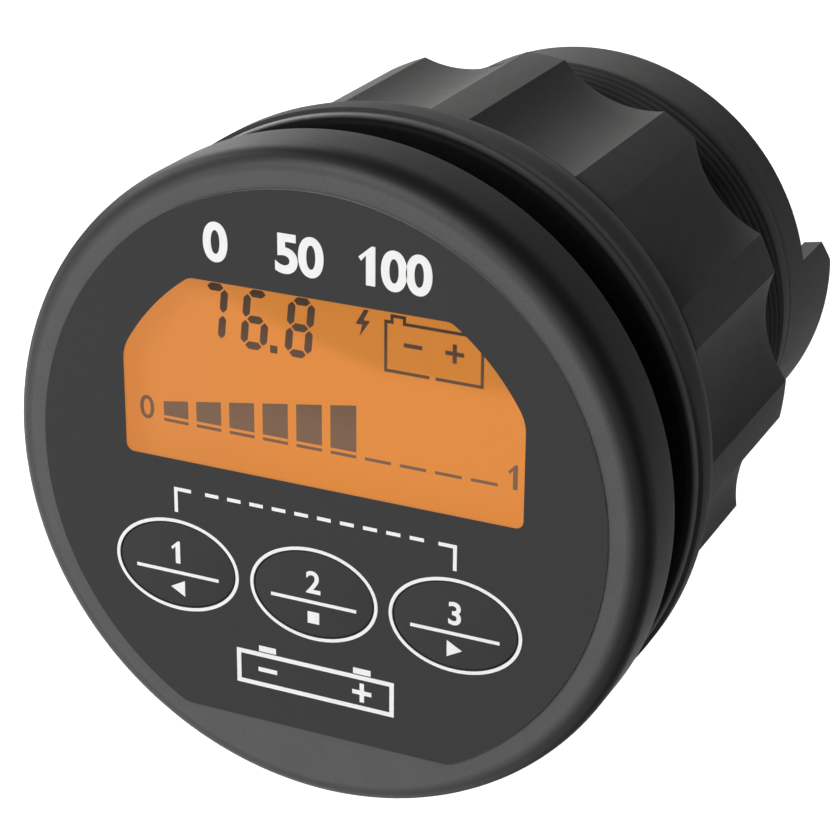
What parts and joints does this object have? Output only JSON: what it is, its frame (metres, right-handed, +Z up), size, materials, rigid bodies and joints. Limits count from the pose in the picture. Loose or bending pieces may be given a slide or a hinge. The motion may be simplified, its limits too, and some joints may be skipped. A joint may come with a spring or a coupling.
{
  "type": "battery monitor gauge head",
  "caption": "Round panel-mount battery gauge head with a lit display, oval push keys, a threaded barrel and a fluted lock ring that clamps it in a panel.",
  "frame": {"origin": "on the gauge's axis, in the plane of the flange's rear face, where the panel seats", "axes": "+Y runs back along the barrel, the face looks toward -Y, +Z is up as the display reads, +X is to the reader's right"},
  "size_m": [0.064, 0.079, 0.064],
  "materials": {
    "bezel_plastic": "finely textured black moulding",
    "barrel_plastic": "satin black moulding",
    "face_sheet": "matt printed sheet",
    "lens": "clear",
    "display": "amber lit display",
    "key_plastic": "matt printed key",
    "seal_rubber": "matt",
    "milky_plastic": "milky",
    "circuit_board": "coated board",
    "component_plastic": "moulded",
    "steel": "plated",
    "brass": "bright"
  },
  "bodies": {
    "gauge_body": {"housing": "barrel_plastic", "panel_gasket": "seal_rubber", "front_bezel": "bezel_plastic", "face_overlay": "face_sheet", "display_window": "lens", "lcd_glass": "display", "lcd_holder": "milky_plastic", "backlight_guide": "milky_plastic", "backlight_led_left": "milky_plastic", "backlight_led_right": "milky_plastic", "zebra_strip": "seal_rubber", "switch_body_left": "component_plastic", "switch_body_centre": "component_plastic", "switch_body_right": "component_plastic", "display_board": "circuit_board", "controller_chip": "component_plastic", "clock_crystal": "steel", "board_socket": "component_plastic", "main_board": "circuit_board", "alarm_relay": "component_plastic", "measuring_chip": "component_plastic", "supply_capacitor": "component_plastic", "filter_choke": "component_plastic", "terminal_header": "component_plastic", "terminal_pin_1": "brass", "terminal_pin_2": "brass", "terminal_pin_3": "brass", "terminal_pin_4": "brass", "terminal_pin_5": "brass", "terminal_pin_6": "brass", "rear_cover": "barrel_plastic", "pillar_left": "steel", "pillar_right": "steel", "cover_screw_left": "steel", "cover_screw_right": "steel"},
    "left_key": {"key_left": "key_plastic", "switch_plunger_left": "component_plastic"},
    "centre_key": {"key_centre": "key_plastic", "switch_plunger_centre": "component_plastic"},
    "right_key": {"key_right": "key_plastic", "switch_plunger_right": "component_plastic"},
    "washer": {"clamp_washer": "seal_rubber"},
    "ring": {"lock_ring": "barrel_plastic"}
  },
  "joints": [
    {"name": "key_left_press", "type": "slide", "parent": "gauge_body", "child": "left_key", "axis": [0, 1, 0], "range_m": [0, 0.0005], "stiffness_N_per_m": 4000},
    {"name": "key_centre_press", "type": "slide", "parent": "gauge_body", "child": "centre_key", "axis": [0, 1, 0], "range_m": [0, 0.0005], "stiffness_N_per_m": 4000},
    {"name": "key_right_press", "type": "slide", "parent": "gauge_body", "child": "right_key", "axis": [0, 1, 0], "range_m": [0, 0.0005], "stiffness_N_per_m": 4000},
    {"name": "washer_slide", "type": "slide", "parent": "gauge_body", "child": "washer", "axis": [0, 1, 0], "range_m": [-0.0046, 0.0091]},
    {"name": "ring_turn", "type": "hinge", "parent": "washer", "child": "ring", "pos_m": [0, 0, 0], "axis": [0, 1, 0], "range_deg": [-1080, 2160]}
  ],
  "couplings": [
    {"joint": "washer_slide", "follows": "ring_turn", "m_per_rad": 0.00023873}
  ]
}
